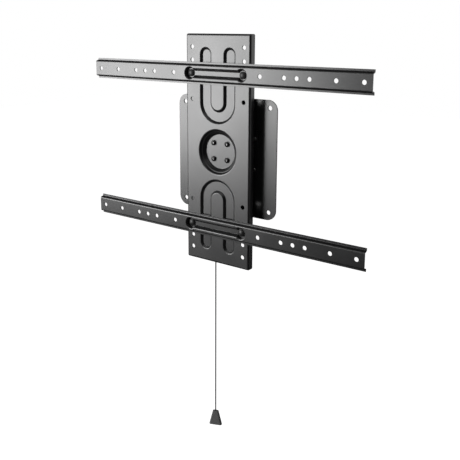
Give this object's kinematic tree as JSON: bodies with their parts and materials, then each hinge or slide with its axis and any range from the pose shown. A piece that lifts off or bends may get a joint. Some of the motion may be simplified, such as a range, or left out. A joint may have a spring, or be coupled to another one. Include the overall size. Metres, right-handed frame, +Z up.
{
  "type": "rotating tv wall bracket",
  "caption": "Black steel television wall bracket that turns a quarter turn each way, with a pressed face plate, two hole rails and a pull cord that frees its latch.",
  "frame": {"origin": "middle of the four wall holes, on the wall", "axes": "+Z up, +X to the right for someone facing the bracket, -Y out of the wall toward the viewer"},
  "size_m": [0.63, 0.04, 0.8205],
  "materials": {
    "black_steel": "satin",
    "plain_steel": "satin",
    "black_screw": "satin",
    "black_oxide": "matte",
    "white_nylon": "matte",
    "grey_cord": "matte",
    "black_plastic": "satin"
  },
  "bodies": {
    "wall_base": {"wall_plate": "black_steel", "hub_bridge": "black_steel", "bridge_rivets": "plain_steel", "rear_washer": "white_nylon", "front_bearing": "white_nylon", "stop_pin": "plain_steel", "latch_guide": "black_steel", "guide_rivets": "plain_steel", "latch_pad": "white_nylon", "latch_spring": "plain_steel"},
    "swivel": {"turntable": "plain_steel", "face_plate": "black_steel", "hub_screws": "black_screw", "upper_rail": "black_steel", "lower_rail": "black_steel", "upper_rail_bolts": "black_oxide", "lower_rail_bolts": "black_oxide", "rail_washers": "plain_steel", "rail_nuts": "plain_steel"},
    "latch": {"latch_slide": "plain_steel", "cord_ferrule": "plain_steel", "pull_cord": "grey_cord", "cord_knob": "black_plastic", "cord_knot": "grey_cord"}
  },
  "joints": [
    {"name": "screen_turn", "type": "hinge", "parent": "wall_base", "child": "swivel", "pos_m": [0, -0.007, 0.01], "axis": [0, 1, 0], "range_deg": [-90, 90]},
    {"name": "latch_pull", "type": "slide", "parent": "wall_base", "child": "latch", "axis": [0, 0, 1], "range_m": [0, 0.006], "stiffness_N_per_m": 1500, "springref_m": 0.008, "deforming": ["latch_spring"]}
  ]
}
